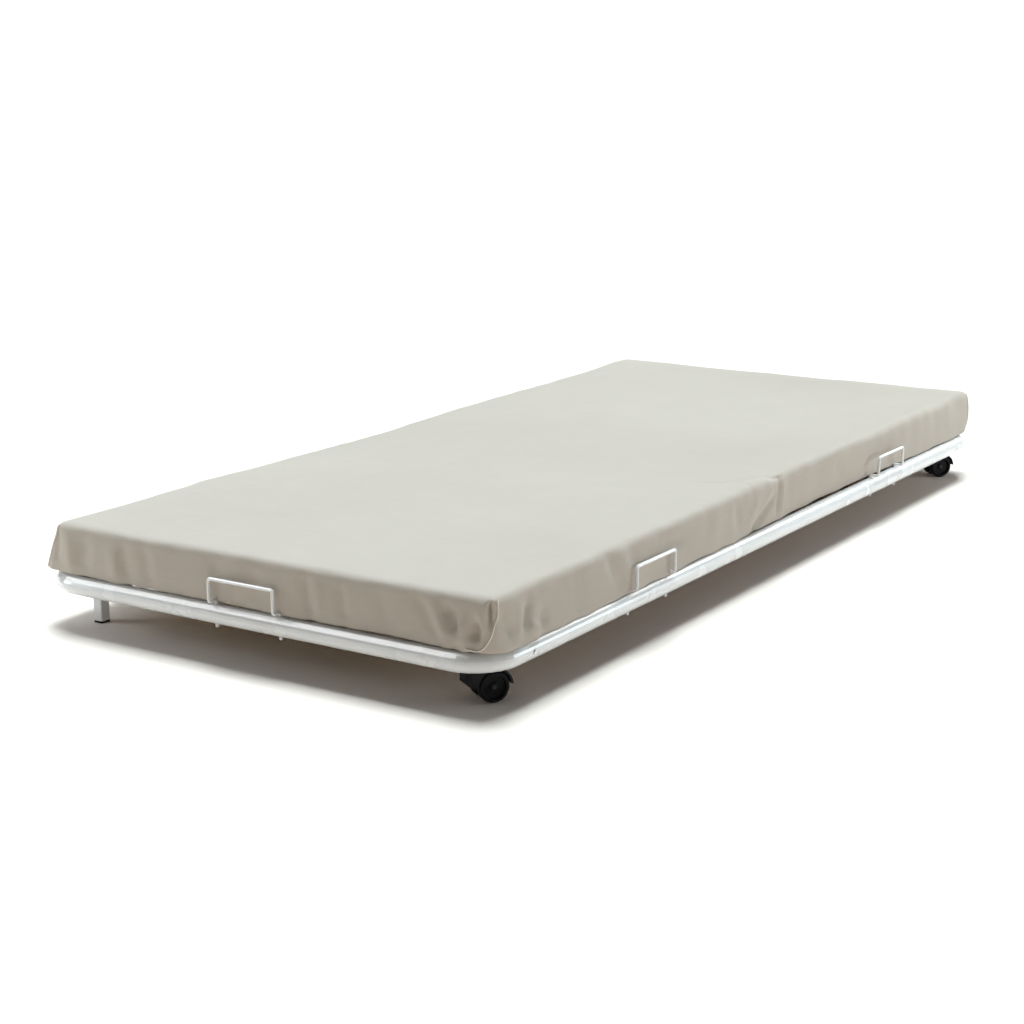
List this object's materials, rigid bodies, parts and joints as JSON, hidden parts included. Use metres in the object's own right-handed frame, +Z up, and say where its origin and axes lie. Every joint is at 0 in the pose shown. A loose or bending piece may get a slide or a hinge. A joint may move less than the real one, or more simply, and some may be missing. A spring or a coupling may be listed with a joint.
{
  "type": "low roll-out guest bed",
  "caption": "Low roll-out bed: white round-tube frame, slatted deck, foam mattress in a beige fitted cover, wire retainers, hooded casters on one side and square legs on the other.",
  "frame": {"origin": "on the floor, at the middle of the bed's footprint", "axes": "+Z up; +Y along the bed's length, towards the head end; +X across the width, towards the side that has the casters"},
  "size_m": [0.942, 2.074, 0.1895],
  "materials": {
    "white_powder_coat": "gloss",
    "retainer_wire": "gloss",
    "zinc_screw": "satin",
    "beech_slat": "satin",
    "black_plastic": "satin",
    "wheel_tread": "satin",
    "steel_pin": "satin",
    "mattress_foam": "matte",
    "beige_cotton": "matte"
  },
  "bodies": {
    "frame": {"end_bow_foot": "white_powder_coat", "end_bow_head": "white_powder_coat", "side_tube_right": "white_powder_coat", "side_tube_left": "white_powder_coat", "slat_ledge_right": "white_powder_coat", "slat_ledge_left": "white_powder_coat", "corner_plate_right_foot": "white_powder_coat", "joint_screw_right_foot": "zinc_screw", "corner_plate_right_head": "white_powder_coat", "joint_screw_right_head": "zinc_screw", "corner_plate_left_foot": "white_powder_coat", "joint_screw_left_foot": "zinc_screw", "corner_plate_left_head": "white_powder_coat", "joint_screw_left_head": "zinc_screw", "deck_slat_01": "beech_slat", "deck_slat_02": "beech_slat", "deck_slat_03": "beech_slat", "deck_slat_04": "beech_slat", "deck_slat_05": "beech_slat", "deck_slat_06": "beech_slat", "deck_slat_07": "beech_slat", "deck_slat_08": "beech_slat", "deck_slat_09": "beech_slat", "deck_slat_10": "beech_slat", "deck_slat_11": "beech_slat", "deck_slat_12": "beech_slat", "deck_slat_13": "beech_slat", "leg_foot": "white_powder_coat", "leg_head": "white_powder_coat", "leg_glide_foot": "black_plastic", "leg_glide_head": "black_plastic", "caster_socket_foot": "white_powder_coat", "caster_socket_head": "white_powder_coat", "caster_stem_foot": "steel_pin", "caster_stem_head": "steel_pin", "retainer_right_foot": "retainer_wire", "retainer_right_head": "retainer_wire", "retainer_left_foot": "retainer_wire", "retainer_left_head": "retainer_wire", "retainer_foot_end": "retainer_wire", "retainer_head_end": "retainer_wire"},
    "mattress": {"mattress_core": "mattress_foam", "mattress_cover": "beige_cotton"},
    "caster_foot": {"caster_body_foot": "black_plastic", "caster_axle_foot": "steel_pin"},
    "wheel_foot_a": {"caster_wheel_foot_a": "wheel_tread"},
    "wheel_foot_b": {"caster_wheel_foot_b": "wheel_tread"},
    "caster_head": {"caster_body_head": "black_plastic", "caster_axle_head": "steel_pin"},
    "wheel_head_a": {"caster_wheel_head_a": "wheel_tread"},
    "wheel_head_b": {"caster_wheel_head_b": "wheel_tread"}
  },
  "joints": [
    {"name": "mattress_lift", "type": "slide", "parent": "frame", "child": "mattress", "axis": [0, 0, 1], "range_m": [0, 0.25]},
    {"name": "caster_foot_swivel", "type": "hinge", "parent": "frame", "child": "caster_foot", "pos_m": [0.385, -0.952, 0.045], "axis": [0, 0, 1], "continuous": true},
    {"name": "wheel_foot_a_spin", "type": "hinge", "parent": "caster_foot", "child": "wheel_foot_a", "pos_m": [0.39698, -0.93355, 0.025], "axis": [-0.8387, 0.5446, 0], "continuous": true},
    {"name": "wheel_foot_b_spin", "type": "hinge", "parent": "caster_foot", "child": "wheel_foot_b", "pos_m": [0.39698, -0.93355, 0.025], "axis": [-0.8387, 0.5446, 0], "continuous": true},
    {"name": "caster_head_swivel", "type": "hinge", "parent": "frame", "child": "caster_head", "pos_m": [0.385, 0.952, 0.045], "axis": [0, 0, 1], "continuous": true},
    {"name": "wheel_head_a_spin", "type": "hinge", "parent": "caster_head", "child": "wheel_head_a", "pos_m": [0.39914, 0.96885, 0.025], "axis": [-0.766, 0.6428, 0], "continuous": true},
    {"name": "wheel_head_b_spin", "type": "hinge", "parent": "caster_head", "child": "wheel_head_b", "pos_m": [0.39914, 0.96885, 0.025], "axis": [-0.766, 0.6428, 0], "continuous": true}
  ]
}
